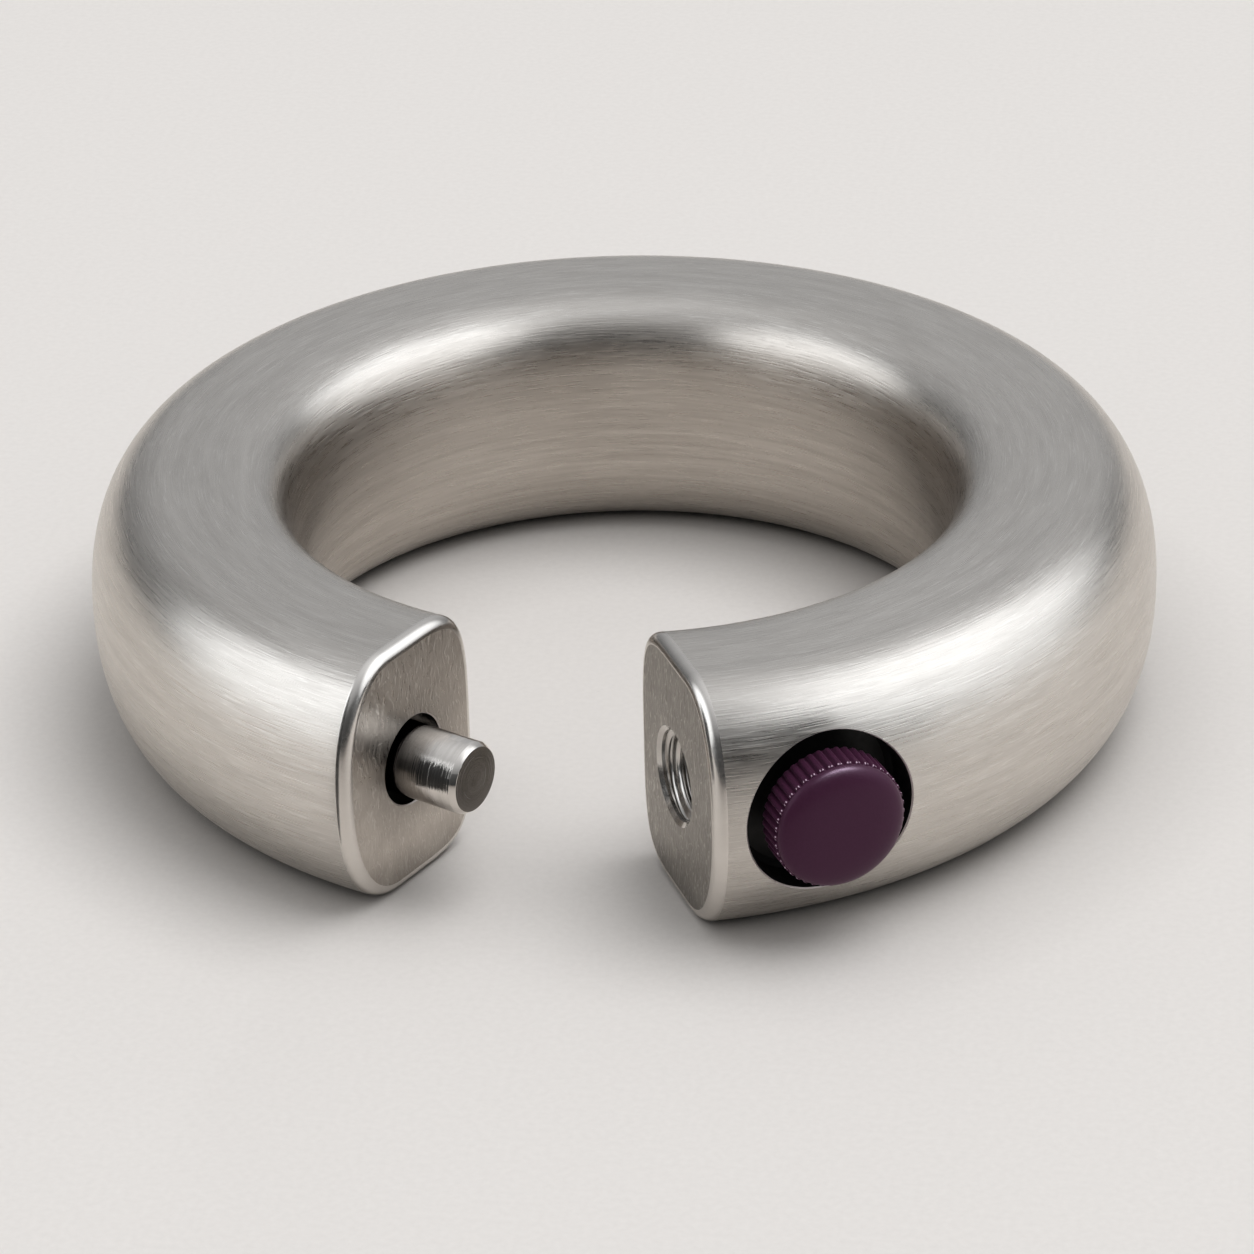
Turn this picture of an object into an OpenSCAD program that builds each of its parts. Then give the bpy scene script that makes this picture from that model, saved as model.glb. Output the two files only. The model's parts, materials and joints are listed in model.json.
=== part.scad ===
// Weighted ring: a heavy C-shaped steel ring with a locating pin in one end,
// a threaded hole in the other, and a thumb screw in a side pocket that locks the hole.
// Millimetres. The ring lies flat: its axis is Z, it rests on Z = 0, and the gap faces -Y.

/* [Ring] */
// Outside diameter
outer_d = 60; // [54:1:70]
// Inside diameter, at the middle of the inner wall
inner_d = 37; // [33:0.5:39]
// Height as it lies
height = 14.6; // [13:0.2:17]
// Radius of the highest line of the top surface
crown_r = 24.7; // [24:0.1:25.4]
// Half width of the flat land at the top and at the bottom
land = 0.8; // [0.4:0.1:1.2]
// Squareness of the outer side: 2 is an ellipse
outer_bulge = 2.25; // [2:0.05:3]
// Squareness of the inner side
inner_bulge = 3.9; // [2.4:0.1:5]
// Straight runs in each quarter of the section
quarter_steps = 12; // [8:1:16]

/* [Gap] */
// Angle between each end face and the middle of the gap
gap_half_angle = 26.6; // [22:0.2:30]
// Sideways place of the line where the two end faces would meet
gap_apex_x = -1.5; // [-2:0.1:0]
// Distance of that line in front of the ring's axis
gap_apex_y = -8.8; // [-10:0.1:-8]

/* [Pin end] */
// Distance of the pin's axis from the apex of the gap, along the end face
pin_reach = 15.3; // [15:0.1:15.8]
// Diameter of the pin
pin_d = 4; // [3.8:0.1:4.2]
// Length of pin that stands out of the end face
pin_out = 4; // [3:0.1:4.4]
// Depth below the end face at which the pin narrows to its root
shoulder_depth = 0.1; // [0.05:0.05:0.15]
// Diameter of the pin's root
root_d = 3.6; // [3:0.1:3.6]
// Chamfer on the nose of the pin
pin_chamfer = 0.25; // [0.1:0.05:0.5]
// Diameter of the wide mouth round the pin
mouth_d = 5.06; // [4.8:0.02:5.4]
// Depth of that mouth
mouth_depth = 3.6; // [2:0.1:4]
// Depth of the seat that holds the pin, beyond the mouth
seat_depth = 5; // [4:0.1:6]

/* [Threaded end] */
// Distance of the hole's axis from the apex of the gap, along the end face
thread_reach = 15.9; // [15.6:0.1:16.2]
// Diameter across the thread's crests, as for an M5 thread
thread_minor_d = 4.134; // [4.134]
// Widest diameter of the countersink
countersink_d = 5.5; // [5.2:0.1:5.8]
// Depth of the hole
thread_depth = 8.4; // [8:0.1:9]

/* [Thumb screw] */
// Angle of the screw's axis from the -Y side, towards +X
knob_angle = 28.6; // [28:0.1:30]
// Diameter of the pocket
pocket_d = 9.3; // [9:0.1:9.6]
// Radius from the ring's axis to the pocket's floor
pocket_floor_r = 26.8; // [26.6:0.1:27]
// Diameter of the knob over its ridges
knob_d = 7.3; // [7:0.1:7.6]
// Thickness of the knob
knob_t = 2.68; // [2:0.02:2.8]
// Height of the knob's face above the ring's widest line
knob_proud = 1.7; // [1.2:0.01:1.8]
// Number of ridges round the knob
ridges = 44; // [36:2:48]
// Depth of the valleys between the ridges
ridge_depth = 0.16; // [0.1:0.02:0.2]
// Rounding of the knob's face edge
knob_edge_r = 0.75; // [0.4:0.05:0.8]
// Diameter of the screw
screw_d = 3; // [2.8:0.1:3]

/* [Fits] */
// Radial gap where the pin sits in its seat
seat_gap = 0.02; // [0.01:0.01:0.05]
// Radial gap round the screw, in the ring and in the knob
screw_gap = 0.05; // [0.03:0.01:0.08]

/* [Hidden] */

mid_z = height / 2;
outer_r = outer_d / 2;
inner_r = inner_d / 2;

// The screw stands back from the hole's wall by this much while the knob is out
screw_tip_gap = 0.25;
// Depth of the socket in the back of the knob, and the gap left beyond the screw
socket_depth = 1;
socket_gap = 0.1;
// Past-the-surface run of a cutting shape
cut = 0.5;
// Length of the wedge that cuts the gap
far = 60;

steel = [0.72, 0.71, 0.70];
bright_steel = [0.80, 0.79, 0.77];
plum = [0.33, 0.14, 0.28];

// One quarter of the section, from the widest point up to the edge of the land
function quarter(reach, squareness) = [
    for (i = [0:quarter_steps])
        let (t = 90 * i / quarter_steps)
        [
            land + (reach - land) * pow(cos(t), 2 / squareness),
            mid_z * pow(sin(t), 2 / squareness)
        ]
];

// Points of a quarter in the other order, without the first one
function backwards(points) = [for (i = [len(points) - 1:-1:1]) points[i]];

outer_quarter = quarter(outer_r - crown_r, outer_bulge);
inner_quarter = quarter(crown_r - inner_r, inner_bulge);

// The whole section as [radius, height], anticlockwise from the widest outer point
section = concat(
    [for (p = outer_quarter) [crown_r + p.x, mid_z + p.y]],
    [for (p = backwards(inner_quarter)) [crown_r - p.x, mid_z + p.y]],
    [for (p = inner_quarter) [crown_r - p.x, mid_z - p.y]],
    [for (p = backwards(outer_quarter)) [crown_r + p.x, mid_z - p.y]]
);

// An end face: side is -1 for the pin end, 1 for the threaded end
function face_out(side) = [side * sin(gap_half_angle), -cos(gap_half_angle)];
function face_in(side) = [side * cos(gap_half_angle), sin(gap_half_angle)];
apex = [gap_apex_x, gap_apex_y];

// The V-shaped gap between the two end faces
module gap_wedge() {
    translate([0, 0, -cut])
        linear_extrude(height + 2 * cut)
            polygon([apex, apex + far * face_out(-1), apex + far * face_out(1)]);
}

// Puts its children with Z along a hole, from the middle of its mouth into the ring
module at_end(side, reach) {
    place = apex + reach * face_out(side);
    translate([place.x, place.y, mid_z])
        rotate([0, 0, atan2(face_in(side).y, face_in(side).x)])
            rotate([0, 90, 0])
                children();
}

// Puts its children with Z along the thumb screw's axis, outwards from the ring's axis
module at_knob() {
    translate([0, 0, mid_z])
        rotate([0, 0, knob_angle - 90])
            rotate([0, 90, 0])
                children();
}

// The tip of the screw stops short of the threaded hole's wall
hole_start = apex + thread_reach * face_out(1);
knob_dir = [sin(knob_angle), -cos(knob_angle)];
hole_dir = face_in(1);
// Distance out along the screw's axis to the point where it crosses the hole's axis
cross_r = (hole_start.x * hole_dir.y - hole_start.y * hole_dir.x)
    / (knob_dir.x * hole_dir.y - knob_dir.y * hole_dir.x);
screw_tip_r = cross_r + thread_minor_d / 2 + screw_tip_gap;
knob_face_r = outer_r + knob_proud;
knob_back_r = knob_face_r - knob_t;
screw_end_r = knob_back_r + socket_depth - socket_gap;

module pin_bores() {
    at_end(-1, pin_reach) {
        translate([0, 0, -cut])
            cylinder(d = mouth_d, h = mouth_depth + cut, $fn = 96);
        cylinder(d = root_d + 2 * seat_gap, h = mouth_depth + seat_depth, $fn = 96);
    }
}

module threaded_hole() {
    sink = (countersink_d - thread_minor_d) / 2;
    at_end(1, thread_reach) {
        cylinder(d = thread_minor_d, h = thread_depth, $fn = 96);
        translate([0, 0, -cut])
            cylinder(d1 = countersink_d + 2 * cut, d2 = thread_minor_d, h = sink + cut, $fn = 96);
    }
}

module screw_pocket() {
    at_knob() {
        translate([0, 0, pocket_floor_r])
            cylinder(d = pocket_d, h = outer_r - pocket_floor_r + cut, $fn = 96);
        translate([0, 0, cross_r])
            cylinder(d = screw_d + 2 * screw_gap, h = pocket_floor_r - cross_r + cut, $fn = 96);
    }
}

module ring_body() {
    color(steel)
        difference() {
            rotate_extrude($fn = 180)
                polygon(section);
            gap_wedge();
            pin_bores();
            threaded_hole();
            screw_pocket();
        }
}

module lock_pin() {
    color(bright_steel)
        at_end(-1, pin_reach) {
            root = mouth_depth + seat_depth - seat_gap;
            rotate_extrude($fn = 96)
                polygon([
                    [0, -pin_out],
                    [pin_d / 2 - pin_chamfer, -pin_out],
                    [pin_d / 2, pin_chamfer - pin_out],
                    [pin_d / 2, shoulder_depth],
                    [root_d / 2, shoulder_depth],
                    [root_d / 2, root - pin_chamfer],
                    [root_d / 2 - pin_chamfer, root],
                    [0, root]
                ]);
        }
}

module knob_screw() {
    color(bright_steel)
        at_knob()
            translate([0, 0, screw_tip_r])
                cylinder(d = screw_d, h = screw_end_r - screw_tip_r, $fn = 96);
}

// The knob's outline across its axis: a wave of ridges
module ridge_outline() {
    points_each = 4;
    polygon([
        for (i = [0:ridges * points_each - 1])
            let (turn = 360 * i / (ridges * points_each))
            let (r = knob_d / 2 - ridge_depth * (1 - cos(turn * ridges)) / 2)
            [r * cos(turn), r * sin(turn)]
    ]);
}

module thumb_knob() {
    skirt = knob_t - knob_edge_r;
    cap_r = knob_d / 2 - ridge_depth - 0.04;
    color(plum)
        at_knob()
            translate([0, 0, knob_back_r])
                difference() {
                    union() {
                        linear_extrude(skirt)
                            ridge_outline();
                        rotate_extrude($fn = 96) {
                            translate([0, skirt - cut])
                                square([cap_r, cut]);
                            square([cap_r - knob_edge_r, knob_t]);
                            intersection() {
                                translate([cap_r - knob_edge_r, skirt])
                                    circle(r = knob_edge_r, $fn = 48);
                                translate([0, skirt])
                                    square([knob_d, knob_t]);
                            }
                        }
                    }
                    translate([0, 0, -cut])
                        cylinder(d = screw_d + 2 * screw_gap, h = socket_depth + cut, $fn = 96);
                }
}

ring_body();
lock_pin();
knob_screw();
thumb_knob();
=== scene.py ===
# %% [markdown]
# A weighted ring in brushed steel: a heavy C with a pin in one end, a threaded hole in the other
# and a plum thumb screw in a side pocket.
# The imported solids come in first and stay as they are. They give every size and place.
# Each piece is then modelled again over its solid, finer, with the small edges and marks that
# catch the light, and gets its finish from nodes.

# %% Load the solids
import json
import math

import bmesh
import bpy
from mathutils import Matrix, Vector

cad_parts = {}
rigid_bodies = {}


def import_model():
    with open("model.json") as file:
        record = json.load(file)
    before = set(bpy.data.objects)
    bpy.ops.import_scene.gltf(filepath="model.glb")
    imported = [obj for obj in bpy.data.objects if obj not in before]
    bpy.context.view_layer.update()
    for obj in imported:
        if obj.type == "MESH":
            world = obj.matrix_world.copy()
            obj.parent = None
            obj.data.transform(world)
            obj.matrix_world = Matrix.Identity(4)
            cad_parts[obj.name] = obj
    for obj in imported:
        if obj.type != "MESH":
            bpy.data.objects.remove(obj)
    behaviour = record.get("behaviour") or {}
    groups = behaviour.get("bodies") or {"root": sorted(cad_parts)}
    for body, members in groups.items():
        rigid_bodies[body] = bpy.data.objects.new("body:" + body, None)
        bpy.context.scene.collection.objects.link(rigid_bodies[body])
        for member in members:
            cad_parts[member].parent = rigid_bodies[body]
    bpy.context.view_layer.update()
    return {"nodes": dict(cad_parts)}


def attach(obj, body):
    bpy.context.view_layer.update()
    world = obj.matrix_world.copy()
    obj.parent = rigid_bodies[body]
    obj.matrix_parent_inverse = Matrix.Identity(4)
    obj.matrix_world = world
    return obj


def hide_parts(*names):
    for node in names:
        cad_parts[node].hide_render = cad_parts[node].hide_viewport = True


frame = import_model()
print("solids:", sorted(frame["nodes"]))

# %% [markdown]
# The sizes are those of the solids, in millimetres. Bevels and merges work best on numbers near 1,
# so each piece is modelled in millimetres and brought down to metres when its shape is done.
# A squareness of 2 makes a side of the section an ellipse, and a larger one makes it squarer.
# PAST is how far a cutting shape runs out past the surface that it cuts.

# %% Sizes shared by several pieces
MM = 0.001
OUTER_R, INNER_R, HEIGHT = 30.0, 18.5, 14.6
CROWN_R, LAND = 24.7, 0.8
OUTER_SQUARENESS, INNER_SQUARENESS = 2.25, 3.9
MID = HEIGHT / 2
GAP_HALF = math.radians(26.6)
APEX = Vector((-1.5, -8.8, 0.0))
PIN_REACH, THREAD_REACH = 15.3, 15.9
KNOB_ANGLE = math.radians(28.6)
POCKET_R, POCKET_FLOOR = 4.65, 26.8
ROUND_SIDES, PAST = 128, 0.5
print("ring:", 2 * OUTER_R, "mm across and", HEIGHT, "mm high")

# %% [markdown]
# Holes, pin and knob all stand along a slanted axis. A local frame with Z down that axis lets each
# be modelled upright. The pin end is on the left (side -1), the threaded end on the right (side 1).

# %% Local frames
def along_face(side):
    return Vector((side * math.sin(GAP_HALF), -math.cos(GAP_HALF), 0))


def into_ring(side):
    return Vector((side * math.cos(GAP_HALF), math.sin(GAP_HALF), 0))


def upright_frame(place, axis):
    """A frame whose Z runs along axis and whose X points down."""
    down = Vector((0, 0, -1))
    side_way = axis.cross(down)
    return Matrix.Translation(place) @ Matrix((down, side_way, axis)).transposed().to_4x4()


def end_frame(side, reach):
    return upright_frame(APEX + reach * along_face(side) + Vector((0, 0, MID)), into_ring(side))


KNOB_DIR = Vector((math.sin(KNOB_ANGLE), -math.cos(KNOB_ANGLE), 0))
PIN_FRAME = end_frame(-1, PIN_REACH)
THREAD_FRAME = end_frame(1, THREAD_REACH)
KNOB_FRAME = upright_frame(Vector((0, 0, MID)), KNOB_DIR)
print("pin mouth", PIN_FRAME.translation, "threaded mouth", THREAD_FRAME.translation)

# %% [markdown]
# Every tool in edit mode works on what is selected, and the loaded solids come in selected. So each
# piece starts from nothing selected, and faces are then picked by a test on their place.

# %% Helpers for selecting and finishing
def start_edit():
    bpy.ops.object.mode_set(mode="EDIT")
    bpy.ops.mesh.select_all(action="DESELECT")


def stop_edit():
    bpy.ops.object.mode_set(mode="OBJECT")


def only(piece):
    bpy.ops.object.select_all(action="DESELECT")
    piece.select_set(True)
    bpy.context.view_layer.objects.active = piece


def pick(piece, kind, test):
    """Selects the edges or faces that pass a test, in edit mode, and counts them."""
    bpy.ops.mesh.select_mode(type=kind)
    bpy.ops.mesh.select_all(action="DESELECT")
    bm = bmesh.from_edit_mesh(piece.data)
    chosen = [e for e in (bm.edges if kind == "EDGE" else bm.faces) if test(e)]
    for e in chosen:
        e.select_set(True)
    bm.select_flush_mode()
    bmesh.update_edit_mesh(piece.data)
    return len(chosen)


def count(piece):
    piece.data.calc_loop_triangles()
    print(piece.name, len(piece.data.loop_triangles), "triangles")


def settle(piece, place=Matrix.Identity(4)):
    """Puts a piece's place into its mesh, in metres, with its object left at the origin."""
    piece.data.transform(Matrix.Diagonal((MM, MM, MM, 1)) @ place)
    piece.matrix_world = Matrix.Identity(4)
    count(piece)


# %% [markdown]
# Turned shapes, such as the pin and the cutters for the holes, are a circle that is extruded and
# widened or narrowed step by step, as a lathe tool would follow the outline.

# %% Helper: a turned shape
def turned(name, outline, sides):
    """A closed solid from [(radius, height)], along Z, faces outwards."""
    bpy.ops.object.select_all(action="DESELECT")
    r, z = outline[0]
    bpy.ops.mesh.primitive_circle_add(vertices=sides, radius=r, fill_type="NGON",
                                      location=(0, 0, 0))
    piece = bpy.context.object
    piece.name = piece.data.name = name
    bpy.ops.object.mode_set(mode="EDIT")
    bpy.ops.mesh.select_all(action="SELECT")
    bpy.ops.transform.translate(value=(0, 0, z))
    for next_r, next_z in outline[1:]:
        bpy.ops.mesh.extrude_region_move(TRANSFORM_OT_translate={"value": (0, 0, next_z - z)})
        bpy.ops.transform.resize(value=(next_r / r, next_r / r, 1))
        r, z = next_r, next_z
    bpy.ops.mesh.select_all(action="SELECT")
    bpy.ops.mesh.normals_make_consistent(inside=False)
    stop_edit()
    return piece


# %% [markdown]
# The real ring shows eight finishes of steel and one of plastic. Their materials are named now,
# because the pieces carry them through the cuts, and get their nodes further on.

# %% Names of the materials
def named(name):
    m = bpy.data.materials.new(name)
    m.use_nodes = True
    return m


brushed = named("brushed_ring_steel")
faced = named("faced_end_steel")
polished = named("polished_rim_steel")
bored = named("bored_hole_steel")
wear_and_highlight = named("wear_and_highlight_edge_steel")
near_black = named("near_black_pocket")
pin_steel = named("turned_pin_steel")
shaded_nose_steel = named("faced_nose_steel")
plum = named("plum_knob")
print("materials:", [m.name for m in (brushed, faced, polished, bored, wear_and_highlight, near_black, pin_steel,
                                      shaded_nose_steel, plum)])

# %% [markdown]
# The ring's section is a rounded D. Its outer side is close to an ellipse and its inner side is
# squarer, with a narrow flat land at the top and bottom. A primitive circle has a point at each
# angle, and each point slides out to the outline of the D at its own angle.

# %% Ring: the section
SECTION_POINTS, RING_STEPS = 176, 184


def d_section(turn):
    """The radius and height of the D's outline at an angle round the section."""
    outer = math.cos(turn) > 0
    reach = OUTER_R - CROWN_R if outer else CROWN_R - INNER_R
    power = 2 / (OUTER_SQUARENESS if outer else INNER_SQUARENESS)
    out = LAND + (reach - LAND) * abs(math.cos(turn)) ** power
    up = MID * math.copysign(abs(math.sin(turn)) ** power, math.sin(turn))
    return CROWN_R + (out if outer else -out), MID + up


bpy.ops.object.select_all(action="DESELECT")
bpy.ops.mesh.primitive_circle_add(vertices=SECTION_POINTS, radius=1)
ring = bpy.context.object
ring.name = ring.data.name = "ring"
half_step = math.pi / SECTION_POINTS
for v in ring.data.vertices:
    r, z = d_section(math.atan2(v.co.y, v.co.x) + half_step)
    v.co = (r, 0, z)
print("section:", SECTION_POINTS, "points")

# %% [markdown]
# The section is spun nearly all the way round the ring's axis. The end faces don't point at that
# axis: they lean, because the gap is a V whose sides meet inside the hollow. So each long line of
# the ring is then stretched along its own circle until it ends on the two end faces. The first
# step in from each end is ROOM longer than the others, which leaves space for the rounded rim.

# %% Ring: the body, spun and leant to its ends
def end_turn(side, r):
    """The angle at which a circle of radius r meets an end face."""
    way = along_face(side)
    back = APEX.dot(way)
    meet = APEX + (-back + math.sqrt(back * back - APEX.length_squared + r * r)) * way
    return math.atan2(meet.y, meet.x)


bpy.ops.object.mode_set(mode="EDIT")
bpy.ops.mesh.select_all(action="SELECT")
SPUN = math.radians(300)
bpy.ops.mesh.spin(steps=RING_STEPS, angle=SPUN, center=(0, 0, 0), axis=(0, 0, -1))
stop_edit()
ROOM = 0.8
for v in ring.data.vertices:
    r = math.hypot(v.co.x, v.co.y)
    step = round(math.atan2(v.co.y, v.co.x) % math.tau / SPUN * RING_STEPS)
    if 0 < step < RING_STEPS:
        step += ROOM * (1 - 2 * step / RING_STEPS)
    first, last = end_turn(1, r), end_turn(-1, r) + math.tau
    turn = first + (last - first) * step / RING_STEPS
    v.co = (r * math.cos(turn), r * math.sin(turn), v.co.z)
print("ring body:", len(ring.data.vertices), "points")

# %% [markdown]
# The two open ends are closed with flat faces. Each rim is rounded by 0.65 mm and buffed bright on
# the real ring, so the bevel that rounds it gets a material of its own. The ring's first three
# material slots are its skin, its end faces and that rim.

# %% Ring: end faces and rounded rims
SKIN, END_FACE, RIM_BAND = 0, 1, 2
RIM, RIM_SEGMENTS, MANY_SIDES = 0.65, 6, 20
for m in (brushed, faced, polished, bored, near_black, wear_and_highlight):
    ring.data.materials.append(m)
start_edit()
bpy.ops.mesh.select_non_manifold(extend=False, use_wire=False, use_multi_face=False,
                                 use_non_contiguous=False, use_verts=False)
bpy.ops.mesh.edge_face_add()
ring.active_material_index = END_FACE
bpy.ops.mesh.select_all(action="SELECT")
bpy.ops.mesh.normals_make_consistent(inside=False)


def is_end(face):
    return len(face.verts) > MANY_SIDES


print("end faces:", pick(ring, "FACE", is_end))
bpy.ops.object.material_slot_assign()
print("rim edges:", pick(ring, "EDGE", lambda e: any(is_end(f) for f in e.link_faces)))
bpy.ops.mesh.bevel(offset=RIM, offset_type="OFFSET", segments=RIM_SEGMENTS, profile=0.5,
                   affect="EDGES", material=RIM_BAND, clamp_overlap=False)
stop_edit()
count(ring)

# %% [markdown]
# The holes could be built face by face into the skin, but a Boolean cut follows the ring's curved
# wall by itself. The cutter's own materials stay on the walls that it leaves. Where the edge shows
# as a thin bright line, the cutter has a narrow cone there, and a test on the centre of each of
# its faces picks the cone out. The cone's pale tone is partly wear and partly a painted highlight.

# %% Helper: cut one solid out of another
def cut_out(piece, cutter, wall, frame_of, bright_edge=None):
    """Cuts: one material on the walls, and one of wear and painted highlight on the faces the test
    picks.
    """
    for m in (wall, wear_and_highlight):
        cutter.data.materials.append(m)
    for p in cutter.data.polygons:
        p.material_index = int(bool(bright_edge and bright_edge(p.center)))
    cutter.data.transform(frame_of)
    only(piece)
    mod = piece.modifiers.new("cut", "BOOLEAN")
    mod.operation = "DIFFERENCE"
    mod.solver = "EXACT"
    mod.material_mode = "TRANSFER"
    mod.object = cutter
    bpy.ops.object.modifier_apply(modifier=mod.name)
    bpy.data.objects.remove(cutter)
    count(piece)


# %% [markdown]
# A wide mouth leaves a dark gap round the pin, and a narrower seat behind it holds the pin's root.

# %% Ring: the mouth and seat of the pin
MOUTH_R, MOUTH_DEPTH, MOUTH_EDGE = 2.53, 3.6, 0.07
ROOT_R, SEAT_DEPTH, SEAT_GAP = 1.8, 5.0, 0.02
CAP_CLEAR = 0.1
mouth = turned("mouth_cutter", [
    (MOUTH_R + MOUTH_EDGE + PAST, -PAST),
    (MOUTH_R, MOUTH_EDGE),
    (MOUTH_R, MOUTH_DEPTH),
    (ROOT_R + SEAT_GAP, MOUTH_DEPTH),
    (ROOT_R + SEAT_GAP, MOUTH_DEPTH + SEAT_DEPTH),
], ROUND_SIDES)


def on_mouth_edge(center):
    """True between the cutter's flat cap and the straight wall of the mouth."""
    return CAP_CLEAR - PAST < center.z < MOUTH_EDGE


cut_out(ring, mouth, bored, PIN_FRAME, on_mouth_edge)

# %% [markdown]
# The threaded hole needs real thread, because its crests show at the mouth. A tap is modelled as a
# screw is: one pitch of its outline is drawn by extruding a single point, and the Screw modifier
# sweeps it up a helix. Two bisects trim the ends square and close them. A soft wave catches more
# light on its crests than the sharp outline of a drawing would.

# %% Helper: a threaded rod
PROFILE_STEPS, THREAD_SIDES = 12, 72
TURNS_BELOW, SPARE_TURNS = 1.5, 3
WELD = 0.001


def threaded(name, core_r, depth, pitch, bottom, top):
    """A closed rod along Z with a thread on it, which rises and falls as a soft wave."""
    bpy.ops.object.select_all(action="DESELECT")
    bpy.ops.mesh.primitive_circle_add(vertices=3, radius=1)
    rod = bpy.context.object
    rod.name = rod.data.name = name
    bpy.ops.object.mode_set(mode="EDIT")
    bpy.ops.mesh.select_mode(type="VERT")
    bpy.ops.mesh.select_all(action="SELECT")
    bpy.ops.mesh.merge(type="CENTER")
    bpy.ops.transform.translate(value=(core_r, 0, bottom - TURNS_BELOW * pitch))
    rises = [depth * (1 - math.cos(math.tau * i / PROFILE_STEPS)) / 2
             for i in range(PROFILE_STEPS + 1)]
    for low, high in zip(rises, rises[1:]):
        rise = (high - low, 0, pitch / PROFILE_STEPS)
        bpy.ops.mesh.extrude_region_move(TRANSFORM_OT_translate={"value": rise})
    stop_edit()
    sweep = rod.modifiers.new("sweep", "SCREW")
    sweep.axis, sweep.screw_offset = "Z", pitch
    sweep.iterations = math.ceil((top - bottom) / pitch) + SPARE_TURNS
    sweep.steps = sweep.render_steps = THREAD_SIDES
    bpy.ops.object.modifier_apply(modifier=sweep.name)
    bpy.ops.object.mode_set(mode="EDIT")
    bpy.ops.mesh.select_all(action="SELECT")
    bpy.ops.mesh.remove_doubles(threshold=WELD)
    bpy.ops.mesh.bisect(plane_co=(0, 0, bottom), plane_no=(0, 0, 1), use_fill=True,
                        clear_inner=True)
    bpy.ops.mesh.select_all(action="SELECT")
    bpy.ops.mesh.bisect(plane_co=(0, 0, top), plane_no=(0, 0, 1), use_fill=True,
                        clear_outer=True)
    bpy.ops.mesh.select_all(action="SELECT")
    bpy.ops.mesh.normals_make_consistent(inside=False)
    stop_edit()
    count(rod)
    return rod


# %% [markdown]
# The hole's mouth is widened by a shallow cone, then a short straight step, as on the real one,
# so that the first crests stand just inside it.

# %% Ring: the countersunk M5 hole
SINK_R, MINOR_R, MAJOR_R, THREAD_DEPTH = 2.75, 2.067, 2.5, 8.4
SINK_STEP, M5_PITCH, TAP_START = 0.2, 0.8, -0.3
sink = turned("countersink", [
    (2 * SINK_R - MAJOR_R, -SINK_STEP),
    (MAJOR_R, SINK_STEP),
    (MAJOR_R, 2 * SINK_STEP),
    (MINOR_R, 3 * SINK_STEP),
], ROUND_SIDES)
cut_out(ring, sink, bored, THREAD_FRAME)
tap = threaded("tap", MINOR_R, MAJOR_R - MINOR_R, M5_PITCH, TAP_START, THREAD_DEPTH)
cut_out(ring, tap, bored, THREAD_FRAME)

# %% [markdown]
# The pocket is cut square to the ring's rounded wall, so its rim waves up and down. Two rows of the
# cutter's points are moved to follow the wall, and leave an even bright edge all round. Its cap
# stays high above them: a cap that dips would leave an island of skin inside the pocket.

# %% Ring: the outer wall as the pocket sees it
def wall_height(across, up):
    """Distance from the ring's axis, along the pocket's axis, to the outer wall."""
    share = min(1, abs(up) / MID)
    bulge = (1 - share ** OUTER_SQUARENESS) ** (1 / OUTER_SQUARENESS)
    r = CROWN_R + LAND + (OUTER_R - CROWN_R - LAND) * bulge
    return math.sqrt(r * r - across * across)


# %% Ring: the pocket of the thumb screw
POCKET_EDGE, POCKET_FILLET, POCKET_SIDES = 0.09, 0.3, 160
STEM_HOLE_R, STEM_HOLE_START = 1.55, 23.11
EDGE_ROW, OUTSIDE_ROW, POCKET_TOP = 40, 50, 60
EDGE_CLEAR = 0.08
pocket = turned("pocket_cutter", [
    (STEM_HOLE_R, STEM_HOLE_START),
    (STEM_HOLE_R, POCKET_FLOOR),
    (POCKET_R - POCKET_FILLET, POCKET_FLOOR),
    (POCKET_R, POCKET_FLOOR + POCKET_FILLET),
    (POCKET_R, EDGE_ROW),
    (POCKET_R + POCKET_EDGE + PAST, OUTSIDE_ROW),
    (POCKET_R + POCKET_EDGE + PAST, POCKET_TOP),
], POCKET_SIDES)
for v in pocket.data.vertices:
    row = round(v.co.z)
    if row in (EDGE_ROW, OUTSIDE_ROW):
        scale = POCKET_R / math.hypot(v.co.x, v.co.y)
        rim = wall_height(v.co.y * scale, v.co.x * scale)
        v.co.z = rim - POCKET_EDGE if row == EDGE_ROW else rim + PAST
edge_low = min(v.co.z for v in pocket.data.vertices if v.co.z > POCKET_FLOOR + 1)


def on_pocket_edge(center):
    """True on the cone between the pocket's straight wall and the ring's skin."""
    return center.z > edge_low + EDGE_CLEAR and math.hypot(center.x, center.y) > POCKET_R


cut_out(ring, pocket, near_black, KNOB_FRAME, on_pocket_edge)

# %% [markdown]
# A cut leaves slim faces on the smooth wall, and shading that is averaged over them would show as
# ripples in the metal. The wall's true direction is known at every point, so it is worked out and
# stored as custom normals. The rounded rims run from the wall's direction to the end face's.

# %% Ring: smooth shading from the true shape
def wall_normal(co):
    """The direction square to the ring's wall at a point, from the section's own formula."""
    r = math.hypot(co.x, co.y)
    outer = r > CROWN_R
    reach = OUTER_R - CROWN_R if outer else CROWN_R - INNER_R
    squareness = OUTER_SQUARENESS if outer else INNER_SQUARENESS
    out = max(0, abs(r - CROWN_R) - LAND) / (reach - LAND)
    up = (co.z - MID) / MID
    n_r = out ** (squareness - 1) / (reach - LAND) * (1 if outer else -1)
    n_z = math.copysign(abs(up) ** (squareness - 1), up) / MID
    return Vector((n_r * co.x / r, n_r * co.y / r, n_z)).normalized()


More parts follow.
